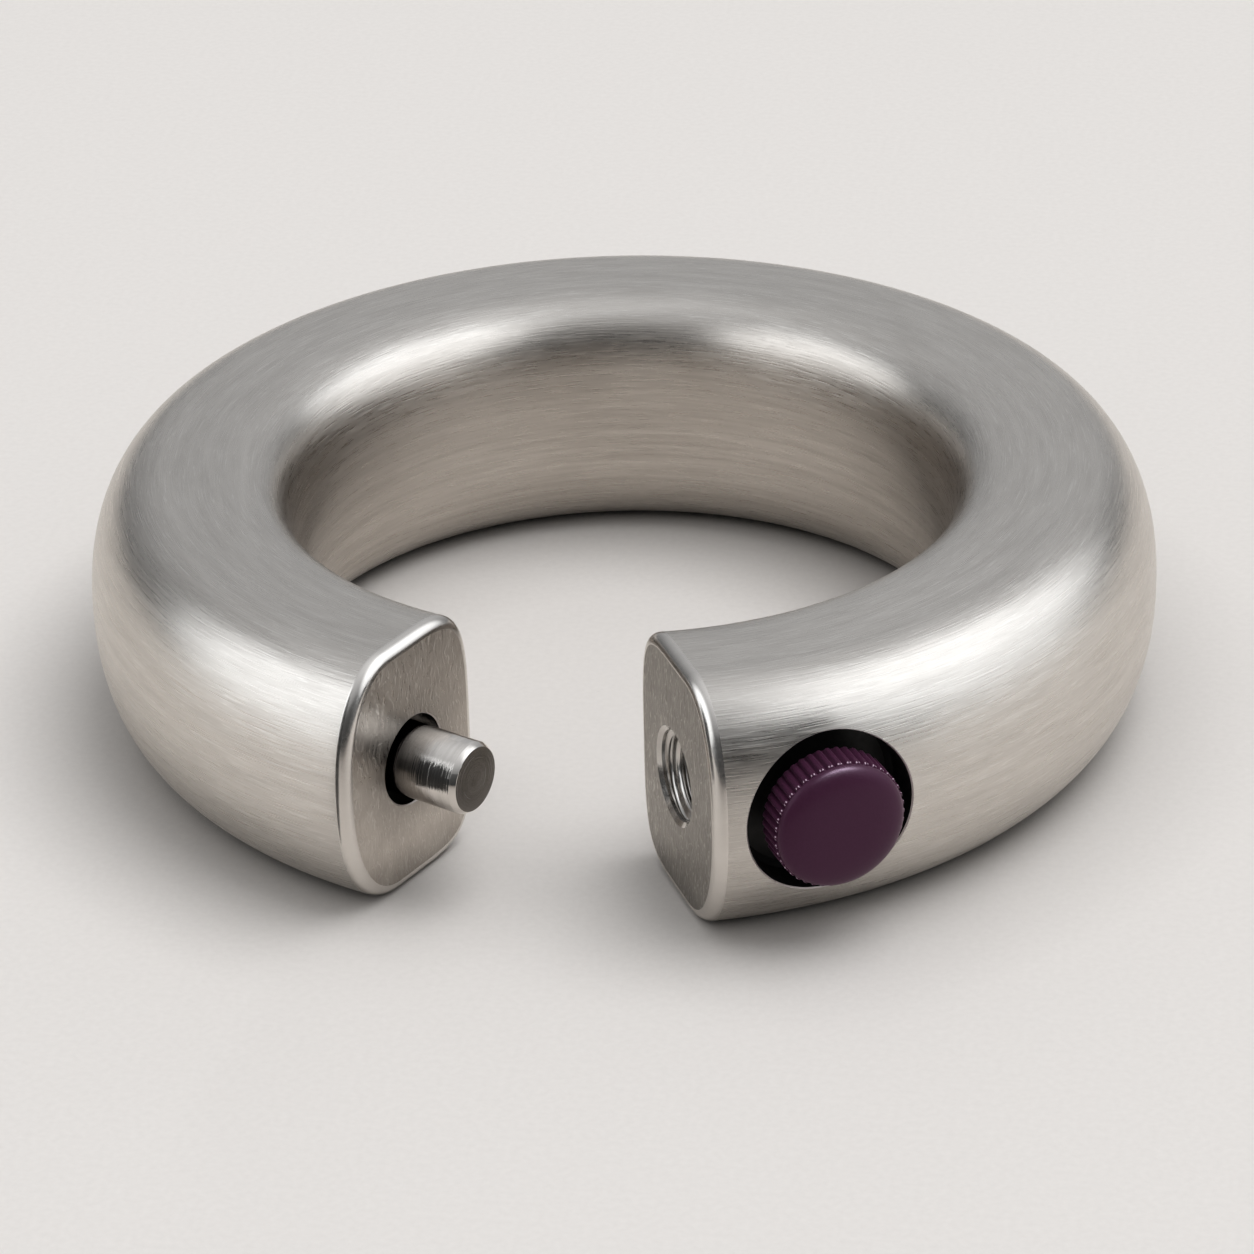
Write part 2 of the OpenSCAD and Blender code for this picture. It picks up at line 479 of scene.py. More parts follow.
def set_true_normals(piece):
    mesh = piece.data
    skin, end = set(), {}
    for p in mesh.polygons:
        if p.material_index == SKIN:
            skin.update(p.vertices)
        elif p.material_index == END_FACE:
            end.update((v, p.normal.copy()) for v in p.vertices)
    chosen = [Vector(n.vector) for n in mesh.corner_normals]
    for p in mesh.polygons:
        for loop in p.loop_indices:
            v = mesh.loops[loop].vertex_index
            if p.material_index == END_FACE:
                chosen[loop] = p.normal.copy()
            elif p.material_index == RIM_BAND and v in end:
                chosen[loop] = end[v]
            elif p.material_index == SKIN or p.material_index == RIM_BAND and v in skin:
                chosen[loop] = wall_normal(mesh.vertices[v].co)
    mesh.normals_split_custom_set([tuple(n) for n in chosen])


RING_SHARP = math.radians(32)
only(ring)
bpy.ops.object.shade_smooth_by_angle(angle=RING_SHARP)
set_true_normals(ring)
settle(ring)
print("ring spans", [round(x / MM, 2) for x in ring.dimensions])

# %% [markdown]
# The pin is turned from bar: a faced nose, a bevelled edge, a straight shank, and a thinner root
# that is pressed into the ring. Small flats either side of the bevel keep its edges crisp.

# %% Pin
PIN_R, PIN_OUT, SHOULDER = 2.0, 4.0, 3.4
NOSE_FALL, NOSE_RUN, CRISP = 0.2, 0.3, 0.01
ROOT_FALL, ROOT_RUN = 0.15, 0.1
pin = turned("pin", [
    (PIN_R - NOSE_FALL - 2 * CRISP, -PIN_OUT),
    (PIN_R - NOSE_FALL, -PIN_OUT + CRISP),
    (PIN_R - CRISP, -PIN_OUT + NOSE_RUN),
    (PIN_R, -PIN_OUT + NOSE_RUN + 3 * CRISP),
    (PIN_R, SHOULDER),
    (ROOT_R, SHOULDER),
    (ROOT_R, MOUTH_DEPTH + SEAT_DEPTH - ROOT_RUN),
    (ROOT_R - ROOT_FALL, MOUTH_DEPTH + SEAT_DEPTH - SEAT_GAP),
], ROUND_SIDES)
for m in (pin_steel, shaded_nose_steel):
    pin.data.materials.append(m)

# %% [markdown]
# Turned marks run round the pin, so its material needs to know what round means. A UV map gives
# it: U is the angle round the axis and V is the way along the outline, both in millimetres. The
# flat nose is inset ring by ring first, so that the marks can close round its middle.

# %% Helpers: UV round an axis, and rings on a flat end
def wrap_round(piece, radius):
    """U is the turn round Z as a run at this radius, V the height less the way out from Z."""
    uv = piece.data.uv_layers.new(name="round")
    for p in piece.data.polygons:
        middle = math.atan2(p.center.y, p.center.x)
        for loop in p.loop_indices:
            co = piece.data.vertices[piece.data.loops[loop].vertex_index].co
            turn = math.atan2(co.y, co.x)
            turn += math.tau * round((middle - turn) / math.tau)
            uv.data[loop].uv = (turn * radius, co.z - math.hypot(co.x, co.y))


def round_inset(piece, sides, ring_radii):
    """Gives the flat ends of a turned piece rings of faces, down to a small disc."""
    start_edit()
    for radius, next_radius in zip(ring_radii, ring_radii[1:]):
        pick(piece, "FACE", lambda f: len(f.verts) == sides)
        bpy.ops.mesh.inset(thickness=radius - next_radius, use_boundary=True,
                           use_even_offset=True)
    stop_edit()


# %% Pin: its rings, its marks and its faced nose
NOSE_RINGS, NOSE_SKIN = [1.6, 1.2, 0.8, 0.4, 0.1], 0.002
round_inset(pin, ROUND_SIDES, NOSE_RINGS)
wrap_round(pin, PIN_R)
for p in pin.data.polygons:
    p.material_index = int(p.center.z < NOSE_SKIN - PIN_OUT)
PIN_SHARP = math.radians(25)
only(pin)
bpy.ops.object.shade_smooth_by_angle(angle=PIN_SHARP)
settle(pin, PIN_FRAME)

# %% [markdown]
# The thumb screw's stem is hidden behind the knob. It is a short rod with a fine thread, made with
# the same helper as the tap. Its tip presses on whatever is screwed into the hole.

# %% Stem of the thumb screw
STEM_TIP, STEM_END = 25.43, 29.92
STEM_CORE_R, STEM_R, STEM_PITCH = 1.2, 1.5, 0.5
STEM_DEPTH = 0.3
stem = threaded("stem", STEM_CORE_R, STEM_DEPTH, STEM_PITCH, STEM_TIP, STEM_END)
stem.data.materials.append(pin_steel)
wrap_round(stem, STEM_R)
STEM_SHARP = math.radians(30)
only(stem)
bpy.ops.object.shade_smooth_by_angle(angle=STEM_SHARP)
settle(stem, KNOB_FRAME)

# %% [markdown]
# The knob is a small plastic cap with ridges to grip. Its outline is a wave of 44 ridges, so a
# circle with twelve points for each ridge is extruded up through the skirt. The ridges run out
# under the cap, whose face is a soft pillow. Each row of points has a share of the ridges: 1 on
# the skirt, less where they start and run out, and 0 on the cap.

# %% Knob: the outline and its rows
KNOB_FACE, KNOB_THICK = 31.7, 2.68
KNOB_BACK = KNOB_FACE - KNOB_THICK
RIDGES, RIDGE_POINTS, KNOB_R, RIDGE_DEPTH = 44, 12, 3.65, 0.2
CAP_R, PILLOW, PILLOW_ROWS, PILLOW_POWER = 3.54, 0.78, 16, 0.62
SKIRT, SKIRT_ROWS = KNOB_THICK - PILLOW, 6
FOOT, FOOT_SHARE, RUN_OUT = 0.12, 0.2, 0.12
RUN_OUT_ROWS = (0, 0.15), (0, 0.1), (0.01, 0.05), (0.04, 0.02), (0.08, 0.0)
MIDDLE_ROWS, MIDDLE_POWER = (0.18, 0.12, 0.06), 3.2


def knob_rows():
    """[(radius, height, share of ridge)] from the back of the knob to its face."""
    rows = [(KNOB_R - FOOT, 0, FOOT_SHARE), (KNOB_R, FOOT, 1)]
    rows += [(KNOB_R, SKIRT * i / SKIRT_ROWS, 1) for i in range(1, SKIRT_ROWS)]
    rows += [(KNOB_R - fall, SKIRT - down, 1 - fall / RUN_OUT) for fall, down in RUN_OUT_ROWS]
    for i in range(PILLOW_ROWS):
        t = math.radians(90 * i / (PILLOW_ROWS + 1))
        rows.append((CAP_R * math.cos(t) ** PILLOW_POWER, SKIRT + PILLOW * math.sin(t), 0))
    for share in MIDDLE_ROWS:
        rows.append((CAP_R * share, SKIRT + PILLOW * math.sqrt(1 - share ** MIDDLE_POWER), 0))
    return rows


# %% Knob: the body
rows = knob_rows()
around_knob = RIDGES * RIDGE_POINTS
knob = turned("knob", [(r, KNOB_BACK + z) for r, z, share in rows], around_knob)
for i, v in enumerate(knob.data.vertices):
    r, z, share = rows[i // around_knob]
    turn = math.atan2(v.co.y, v.co.x)
    wave = (1 - math.cos(turn * RIDGES)) / 2
    r -= RIDGE_DEPTH * share * wave ** 2
    v.co.x, v.co.y = r * math.cos(turn), r * math.sin(turn)
knob.data.materials.append(plum)
print("knob rows:", len(rows))

# %% Knob: the socket that holds the stem
SOCKET_DEPTH, SOCKET_SIDES = 1.0, 64
socket = turned("socket_cutter", [
    (STEM_HOLE_R, KNOB_BACK - PAST),
    (STEM_HOLE_R, KNOB_BACK + SOCKET_DEPTH),
], SOCKET_SIDES)
cut_out(knob, socket, plum, Matrix.Identity(4))

# %% [markdown]
# Each ridge ends in two corners with a painted highlight: a light colour there shows as a row of
# tiny light dots. A number on each point of the mesh says where, and the knob's material reads it.
# The corners stand a sixth of the ridges' spacing either side of each crest, where the wave's
# cosine is a half.

# %% Knob: marks for the painted highlights on the ridge tips
TIP_LOW, TIP_HIGH = SKIRT - 0.11, SKIRT - 0.04
CORNER_WAVE, CORNER_WIDTH = 0.5, 0.1
# Painted highlight: these marks say where the ridge tips are coloured light.
tip_glint_marks = knob.data.attributes.new("tip", "FLOAT", "POINT")
for v in knob.data.vertices:
    wave = math.cos(math.atan2(v.co.y, v.co.x) * RIDGES)
    corner = abs(wave - CORNER_WAVE) < CORNER_WIDTH
    tip_glint_marks.data[v.index].value = float(corner and TIP_LOW < v.co.z - KNOB_BACK < TIP_HIGH)
print("rubbed points:", sum(t.value > 0 for t in tip_glint_marks.data))
KNOB_SHARP = math.radians(40)
only(knob)
bpy.ops.object.shade_smooth_by_angle(angle=KNOB_SHARP)
settle(knob, KNOB_FRAME)

# %% [markdown]
# The finishes. Brushed steel is a metal with fine lines that all run one way. They scatter light
# across the lines much more than along them. The lines need coordinates that follow the ring
# round, so a group turns the place of a point into a run along the ring, a radius and a height.

# %% Helpers for nodes
def new_group(name, inputs, outputs):
    """A shader node group with [(name, kind, value)] inputs and [(name, kind)] outputs."""
    g = bpy.data.node_groups.new(name, "ShaderNodeTree")
    for label, kind, value in inputs:
        sock = g.interface.new_socket(label, in_out="INPUT", socket_type="NodeSocket" + kind)
        if value is not None:
            sock.default_value = value
    for label, kind in outputs:
        g.interface.new_socket(label, in_out="OUTPUT", socket_type="NodeSocket" + kind)
    return g, g.nodes.new("NodeGroupInput"), g.nodes.new("NodeGroupOutput")


def add(tree, kind, values=None, **settings):
    """A node with its settings, and the values or links of its inputs by name or number."""
    n = tree.nodes.new(kind)
    for key, value in settings.items():
        setattr(n, key, value)
    for key, value in (values or {}).items():
        if isinstance(value, bpy.types.NodeSocket):
            tree.links.new(value, n.inputs[key])
        else:
            n.inputs[key].default_value = value
    return n


def math_node(tree, operation, *values):
    return add(tree, "ShaderNodeMath", dict(enumerate(values)), operation=operation).outputs[0]


def vector_node(tree, operation, *values):
    return add(tree, "ShaderNodeVectorMath", dict(enumerate(values)), operation=operation)


def joined(tree, *parts):
    return add(tree, "ShaderNodeCombineXYZ", dict(enumerate(parts))).outputs[0]


def noise(tree, where, scale, detail, output="Fac", **more):
    values = {"Vector": where, "Scale": scale, "Detail": detail, **more}
    return add(tree, "ShaderNodeTexNoise", values).outputs[output]


# %% Group: coordinates round the ring
round_ring, g_in, g_out = new_group("round_the_ring", [], [("Run", "Vector"), ("Radius", "Float")])
place = add(round_ring, "ShaderNodeTexCoord").outputs["Object"]
parts = add(round_ring, "ShaderNodeSeparateXYZ", {0: place}).outputs
turn = math_node(round_ring, "ARCTAN2", parts[0], parts[1])
flat = joined(round_ring, parts[0], parts[1])
radius = vector_node(round_ring, "LENGTH", flat).outputs["Value"]
MEAN_R = CROWN_R * MM
run = joined(round_ring, math_node(round_ring, "MULTIPLY", turn, MEAN_R), radius, parts[2])
round_ring.links.new(run, g_out.inputs["Run"])
round_ring.links.new(radius, g_out.inputs["Radius"])
print(round_ring.name, len(round_ring.nodes), "nodes")

# %% [markdown]
# The lines themselves are noise stretched along the ring: very fine for the single scratches, and
# broader for the bands that a worn belt leaves. One group makes both from any coordinates whose
# first part runs along the lines. Each layer has its own share of the group's two scales, which
# are in cycles a millimetre. A hair is where the last layer crosses its middle value, and it breaks
# off here and there.

# %% Group: brush lines
PER_M = 1 / MM
FINE_LAYER, BROAD_LAYER = (1.0, 1.0, 2.0), (0.5, 0.12, 3.0)
STREAK_LAYER, HAIR_LAYER = (0.2, 0.2, 2.0), (0.6, 0.7, 1.0)
HAIR_CORE, HAIR_EDGE = 0.005, 0.04
HAIR_BREAK, HAIR_WHOLE = 0.42, 0.58
lines, g_in, g_out = new_group("brush_lines", [
    ("Run", "Vector", None), ("Along", "Float", 0.3), ("Across", "Float", 12.0)],
    [("Fine", "Float"), ("Broad", "Float"), ("Streaks", "Float"), ("Hairs", "Float")])
along = math_node(lines, "MULTIPLY", g_in.outputs["Along"], PER_M)
across = math_node(lines, "MULTIPLY", g_in.outputs["Across"], PER_M)


def stretched(along_share, across_share, detail):
    """Noise drawn out along the lines, at these shares of the group's scales."""
    wide = math_node(lines, "MULTIPLY", across, across_share)
    scale = joined(lines, math_node(lines, "MULTIPLY", along, along_share), wide, wide)
    where = vector_node(lines, "MULTIPLY", g_in.outputs["Run"], scale).outputs[0]
    return noise(lines, where, 1.0, detail, Roughness=0.6)


fine = stretched(*FINE_LAYER)
broad = stretched(*BROAD_LAYER)
streaks = stretched(*STREAK_LAYER)
crossing = math_node(lines, "SUBTRACT", stretched(*HAIR_LAYER), 0.5)
crossing = math_node(lines, "ABSOLUTE", crossing)
hairs = add(lines, "ShaderNodeMapRange", {"Value": crossing, "From Min": HAIR_CORE,
                                          "From Max": HAIR_EDGE, "To Min": 1.0,
                                          "To Max": 0.0}).outputs["Result"]
gaps = add(lines, "ShaderNodeMapRange", {"Value": fine, "From Min": HAIR_BREAK,
                                         "From Max": HAIR_WHOLE}).outputs["Result"]
hairs = math_node(lines, "MULTIPLY", hairs, gaps)
for made, label in ((fine, "Fine"), (broad, "Broad"), (streaks, "Streaks"), (hairs, "Hairs")):
    lines.links.new(made, g_out.inputs[label])
print(lines.name, len(lines.nodes), "nodes")

# %% [markdown]
# Shade is painted into the colour where two pieces meet, such as round the foot of the pin, and a
# painted contact shadow darkens the floor beside the ring. This group tells how open a place is: it
# is 1 on open ground and falls towards 0 in a corner. It reads only the shapes nearby, so it holds
# from any side.

# %% Group: corners between pieces
corners, g_in, g_out = new_group("corners", [("Reach", "Float", 0.003), ("Power", "Float", 1.0)],
                                 [("Open", "Float")])
nearby = add(corners, "ShaderNodeAmbientOcclusion", {"Distance": g_in.outputs["Reach"]}, samples=6)
opened = math_node(corners, "POWER", nearby.outputs["AO"], g_in.outputs["Power"])
corners.links.new(opened, g_out.inputs["Open"])
print(corners.name, len(corners.nodes), "nodes")

# %% [markdown]
# The finishes share a few steps: placing a group, spreading a noise over a range, mixing two
# colours and raising a bump. A colour may be three numbers or the output of another node.

# %% Helpers for materials
def group(tree, which, values=None):
    return add(tree, "ShaderNodeGroup", values or {}, node_tree=which).outputs


def bsdf_of(material):
    return material.node_tree.nodes["Principled BSDF"]


def spread(tree, value, low, high, from_low=0.3, from_high=0.7):
    """Spreads the middle of a noise, or another stated range, from low to high."""
    return add(tree, "ShaderNodeMapRange", {"Value": value, "From Min": from_low,
                                            "From Max": from_high, "To Min": low,
                                            "To Max": high}).outputs["Result"]


def blended(tree, fac, first, second):
    """The first colour where fac is 0 and the second where it is 1."""
    first, second = ((*c, 1) if isinstance(c, tuple) else c for c in (first, second))
    return add(tree, "ShaderNodeMix", {"Factor": fac, "A": first, "B": second},
               data_type="RGBA").outputs["Result"]


# Painted shade: the dark colour that corners between pieces are mixed towards.
CORNER_SHADE_TONE = (0.03, 0.027, 0.025)


def painted_corner_shade(tree, tone, reach, power):
    """A tone with painted shade: it goes dark in the corners between pieces."""
    shade_openness = group(tree, corners, {"Reach": reach, "Power": power})["Open"]
    return blended(tree, shade_openness, CORNER_SHADE_TONE, tone)


def raised(tree, bsdf, height, strength, depth):
    bump = add(tree, "ShaderNodeBump", {"Height": height, "Strength": strength, "Distance": depth})
    tree.links.new(bump.outputs[0], bsdf.inputs["Normal"])


QUARTER_TURN = 0.25


def metal(material, anisotropic=0.0):
    """Metal whose highlight is drawn out across its tangent by the given amount."""
    bsdf = bsdf_of(material)
    bsdf.inputs["Metallic"].default_value = 1
    bsdf.inputs["Anisotropic"].default_value = anisotropic
    bsdf.inputs["Anisotropic Rotation"].default_value = QUARTER_TURN
    return material.node_tree, bsdf


def report(*materials):
    for material in materials:
        print(material.name, len(material.node_tree.nodes), "nodes")


# %% [markdown]
# The ring's skin is brushed along its length. Its lines give fine roughness and a slight relief,
# worn bands shift its tone, and a few light hairs lie over them. The inner wall has painted shade
# and a painted warm reflection of the floor: a darker, browner tone, told from the outside by its
# radius. A tangent that runs round the ring's axis draws the highlights out across the lines,
# which is what makes steel look brushed from any side.

# %% Finish: brushed skin of the ring
SKIN_TONES = (0.47, 0.445, 0.42), (0.55, 0.523, 0.495)
INNER_SHADED_TONES = (0.40, 0.367, 0.336), (0.50, 0.463, 0.428)
SKIN_HAIR = (0.75, 0.73, 0.7)
INSIDE_R, OUTSIDE_R = 0.0188, 0.0198
tree, bsdf = metal(brushed, 0.6)
around = group(tree, round_ring)
marks = group(tree, lines, {"Run": around["Run"], "Along": 0.4, "Across": 12.0})
tree.links.new(spread(tree, marks["Fine"], 0.25, 0.34), bsdf.inputs["Roughness"])
tone = blended(tree, spread(tree, marks["Broad"], 0.0, 1.0), *SKIN_TONES)
tone = blended(tree, math_node(tree, "MULTIPLY", marks["Hairs"], 0.4), tone, SKIN_HAIR)
# Painted shade and a painted warm reflection: the inner wall's darker, browner tones.
inside = blended(tree, spread(tree, marks["Streaks"], 0.0, 1.0), *INNER_SHADED_TONES)
inner_wall = spread(tree, around["Radius"], 1.0, 0.0, INSIDE_R, OUTSIDE_R)
tree.links.new(blended(tree, inner_wall, tone, inside), bsdf.inputs["Base Color"])
relief = math_node(tree, "MULTIPLY_ADD", marks["Hairs"], 0.25, marks["Fine"])
raised(tree, bsdf, relief, 0.4, 0.00003)
tangent = add(tree, "ShaderNodeTangent", direction_type="RADIAL", axis="Z")
tree.links.new(tangent.outputs[0], bsdf.inputs["Tangent"])
report(brushed)

# %% [markdown]
# The end faces are faced flat and then handled, so their scratches run up the face and curl. Their
# coordinates are turned, with height first, and bent by a noise. The left face is painted a lighter
# tone than the right one, as lit and shaded copies of one steel, and has painted shade close to the
# pin.

# %% Finish: end faces
LEFT_LIT_TONES = (0.45, 0.41, 0.376), (0.54, 0.50, 0.46)
RIGHT_SHADED_TONES = (0.20, 0.185, 0.168), (0.26, 0.243, 0.222)
FACE_HAIR = (0.75, 0.72, 0.68)
LEFT_X, RIGHT_X, BEND = -0.004, 0.003, 0.0006
tree, bsdf = metal(faced)
where = add(tree, "ShaderNodeTexCoord").outputs["Object"]
parts = add(tree, "ShaderNodeSeparateXYZ", {0: where}).outputs
curl = noise(tree, where, 900.0, 1.0, output="Color")
upward = joined(tree, parts["Z"], parts["X"], parts["Y"])
bent = vector_node(tree, "MULTIPLY_ADD", curl, (BEND, BEND, BEND), upward).outputs[0]
marks = group(tree, lines, {"Run": bent, "Along": 1.1, "Across": 5.0})
tree.links.new(spread(tree, marks["Fine"], 0.26, 0.38), bsdf.inputs["Roughness"])
patches = spread(tree, marks["Broad"], 0.0, 1.0)
# Painted light and shade: the left end face gets the lighter tones and the right one the darker.
side = spread(tree, parts["X"], 0.0, 1.0, LEFT_X, RIGHT_X)
tone = blended(tree, side, blended(tree, patches, *LEFT_LIT_TONES),
               blended(tree, patches, *RIGHT_SHADED_TONES))
tone = blended(tree, math_node(tree, "MULTIPLY", marks["Hairs"], 0.5), tone, FACE_HAIR)
# Painted shade: the end faces go dark in the corner round the pin.
tree.links.new(painted_corner_shade(tree, tone, 0.003, 1.2), bsdf.inputs["Base Color"])
relief = math_node(tree, "MULTIPLY_ADD", marks["Hairs"], 0.4, marks["Fine"])
raised(tree, bsdf, relief, 0.5, 0.00004)
report(faced)

# %% [markdown]
# The buffed rims and the bored walls are smoother, and the worn edges of the holes are pale and
# matt, partly wear and partly a painted highlight, so that they read as a thin line. All three keep
# a trace of the brush lines.

# %% Finish: rims, bores and worn edges
for material, rough, tones in (
    (polished, 0.16, ((0.56, 0.535, 0.51), (0.64, 0.615, 0.59))),
    (bored, 0.14, ((0.5, 0.48, 0.46), (0.62, 0.6, 0.58))),
    # Partly wear, partly painted highlight: the pale tones of the worn edges.
    (wear_and_highlight, 0.5, ((0.78, 0.72, 0.7), (0.86, 0.8, 0.78))),
):
    tree, bsdf = metal(material)
    marks = group(tree, lines, {"Run": group(tree, round_ring)["Run"], "Along": 0.4,
                                "Across": 9.0})
    tree.links.new(spread(tree, marks["Fine"], rough, rough + 0.1), bsdf.inputs["Roughness"])
    tree.links.new(blended(tree, marks["Broad"], *tones), bsdf.inputs["Base Color"])
report(polished, bored, wear_and_highlight)

# %% [markdown]
# The pin's marks run round it, so the same lines are laid on its UV map, and its tangent comes from
# there too. The nose was faced with a coarser cut, which makes it rougher, and its darker tone is
# painted shade.

# %% Finish: turned pin
for material, rough, tones in (
    (pin_steel, 0.06, ((0.54, 0.515, 0.49), (0.70, 0.67, 0.64))),
    # Painted shade: the nose's tones are darker than the shank's.
    (shaded_nose_steel, 0.2, ((0.24, 0.225, 0.21), (0.32, 0.30, 0.285))),
):
    tree, bsdf = metal(material, 0.4)
    uv = add(tree, "ShaderNodeUVMap", uv_map="round").outputs[0]
    scaled = vector_node(tree, "MULTIPLY", uv, (MM, MM, MM)).outputs[0]
    marks = group(tree, lines, {"Run": scaled, "Along": 0.15, "Across": 12.0})
    tree.links.new(spread(tree, marks["Fine"], rough, rough + 0.08), bsdf.inputs["Roughness"])
    tone = blended(tree, spread(tree, marks["Broad"], 0.0, 1.0), *tones)
    # Painted shade: the pin goes dark round its root, in the mouth.
    tree.links.new(painted_corner_shade(tree, tone, 0.003, 3.5), bsdf.inputs["Base Color"])
    raised(tree, bsdf, marks["Fine"], 0.5, 0.00002)
    tangent = add(tree, "ShaderNodeTangent", direction_type="UV_MAP", uv_map="round")
    tree.links.new(tangent.outputs[0], bsdf.inputs["Tangent"])
report(pin_steel, shaded_nose_steel)

# %% [markdown]
# The pocket's walls are near black and hardly shine. The knob is a satin plum plastic with a very
# fine grain: a weak gloss, a little pinkish sheen where it turns away, and painted highlights on
# the ridge tips from the mesh's own marks.

# %% Finish: near-black pocket
POCKET_BLACK_TONES = (0.004, 0.004, 0.004), (0.014, 0.013, 0.013)
tree, bsdf = near_black.node_tree, bsdf_of(near_black)
where = add(tree, "ShaderNodeTexCoord").outputs["Object"]
grain = noise(tree, where, 3000.0, 3.0)
# The pocket's walls are coloured near black.
tree.links.new(blended(tree, grain, *POCKET_BLACK_TONES), bsdf.inputs["Base Color"])
tree.links.new(spread(tree, grain, 0.3, 0.5), bsdf.inputs["Roughness"])
bsdf.inputs["Specular IOR Level"].default_value = 0.2
report(near_black)

# %% Finish: plum knob
PLUM_TONES = (0.043, 0.0105, 0.029), (0.056, 0.0140, 0.039)
PAINTED_GLINT_TONE = (0.9, 0.68, 0.84)
tree, bsdf = plum.node_tree, bsdf_of(plum)
where = add(tree, "ShaderNodeTexCoord").outputs["Object"]
grain = noise(tree, where, 9000.0, 2.0)
# Painted highlight: the ridge tips are coloured light where the mesh marks them.
painted_glint = add(tree, "ShaderNodeAttribute", attribute_name="tip").outputs["Fac"]
tone = blended(tree, painted_glint, blended(tree, grain, *PLUM_TONES), PAINTED_GLINT_TONE)
tree.links.new(tone, bsdf.inputs["Base Color"])
tree.links.new(spread(tree, grain, 0.28, 0.36), bsdf.inputs["Roughness"])
bsdf.inputs["Specular IOR Level"].default_value = 0.15
bsdf.inputs["Specular Tint"].default_value = (1, 0.8, 1, 1)
bsdf.inputs["Sheen Weight"].default_value = 0.1
bsdf.inputs["Sheen Roughness"].default_value = 0.45
bsdf.inputs["Sheen Tint"].default_value = (1, 0.62, 0.9, 1)
report(plum)

# %% [markdown]
# Each new piece now takes the place of its solid and moves with the solid's body.

# %% Pieces take their places
for piece, node, body, slot in (
    (ring, "ring_body", "ring", "ring_steel"),
    (pin, "lock_pin", "ring", "turned_steel"),
    (stem, "knob_screw", "screw", "turned_steel"),
    (knob, "thumb_knob", "knob", "knob_plastic"),
):
    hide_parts(node)
    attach(piece, body)
    print(piece.name, "stands for", node, "and rides on", body)

# %% [markdown]
# The camera stands where the photograph was taken from: about 29 degrees above the floor and 300
# millimetres away, with a long lens. Its place and its two directions come from a fit of the
# ring's outlines. The Standard view keeps the colours as they are worked out.

# %% Camera
CAMERA_PLACE = Vector((36.436, -259.257, 146.487)) * MM
CAMERA_RIGHT = Vector((0.991625, 0.127423, -0.021051))
CAMERA_UP = Vector((-0.042795, 0.477978, 0.877328))
camera = bpy.data.objects.new("camera", bpy.data.cameras.new("camera"))
bpy.context.scene.collection.objects.link(camera)
turned_to_ring = Matrix((CAMERA_RIGHT, CAMERA_UP, CAMERA_RIGHT.cross(CAMERA_UP))).transposed()
camera.matrix_world = Matrix.Translation(CAMERA_PLACE) @ turned_to_ring.to_4x4()
camera.data.lens = 150.34
camera.data.sensor_width = 36
camera.data.clip_start = 0.01
bpy.context.scene.camera = camera
bpy.context.scene.view_settings.view_transform = "Standard"
print("camera", round(CAMERA_PLACE.length / MM), "mm from the ring's axis")

# %% [markdown]
# The floor is pale matt paper, with a painted contact shadow close to the ring. Steel shows what is
# around it, and a photographer would darken the floor in front, out of view, to give the steel some
# contrast. Here the floor has two tones: the one that the camera sees, and a painted reflection for
# rays that come off a shiny surface, which is warmer and dark in an oval patch in front of the
# ring.

# %% Floor
FLOOR_SIZE, FLOOR_ROUGHNESS = 4, 0.6
PAPER_TONES = (0.765, 0.735, 0.71), (0.845, 0.815, 0.79)
MIRRORED_TONES = (0.88, 0.825, 0.768), (0.05, 0.03, 0.02)
PATCH_BACK, PATCH_SHAPE = (0, 0.12, 0), (1.6, 0.8, 1)
PATCH_DARK, PATCH_CORE, PATCH_EDGE = 0.75, 0.025, 0.075
bpy.ops.object.select_all(action="DESELECT")
bpy.ops.mesh.primitive_plane_add(size=FLOOR_SIZE, location=(0, 0, 0))
floor = bpy.context.object
floor.name = floor.data.name = "floor"
paper = named("floor_paper")
floor.data.materials.append(paper)
tree, bsdf = paper.node_tree, bsdf_of(paper)
where = add(tree, "ShaderNodeTexCoord").outputs["Object"]
tone = blended(tree, noise(tree, where, 2500.0, 3.0), *PAPER_TONES)
patch = vector_node(tree, "ADD", where, PATCH_BACK).outputs[0]
patch = vector_node(tree, "MULTIPLY", patch, PATCH_SHAPE).outputs[0]
patch = vector_node(tree, "LENGTH", patch).outputs["Value"]
patch = spread(tree, patch, PATCH_DARK, 0.0, PATCH_CORE, PATCH_EDGE)
# Painted reflection: rays that come off the steel see a warmer floor, dark in front of the ring.
mirrored = add(tree, "ShaderNodeLightPath").outputs["Is Glossy Ray"]
tone = blended(tree, mirrored, tone, blended(tree, patch, *MIRRORED_TONES))
# Painted contact shadow: the floor darkens beside the ring.
shade_openness = group(tree, corners, {"Reach": 0.009, "Power": 0.37})["Open"]
tree.links.new(blended(tree, shade_openness, (0, 0, 0), tone), bsdf.inputs["Base Color"])
bsdf.inputs["Roughness"].default_value = FLOOR_ROUGHNESS
report(paper)

# %% [markdown]
# Two large softboxes shape the steel. They are placed by the angles at which the ring sees them,
# fade towards their edges as real ones do, and don't light the floor, so each can be set without
# changing the other. A third one lights the knob alone, by light linking, and gives its cap the
# small highlight on its shoulder.

# %% Softboxes
LAMP_AWAY = 0.8
LAMP_COLOR = (0.94, 0.975, 1)
FADE_START, FADE_END = 0.2, 0.52


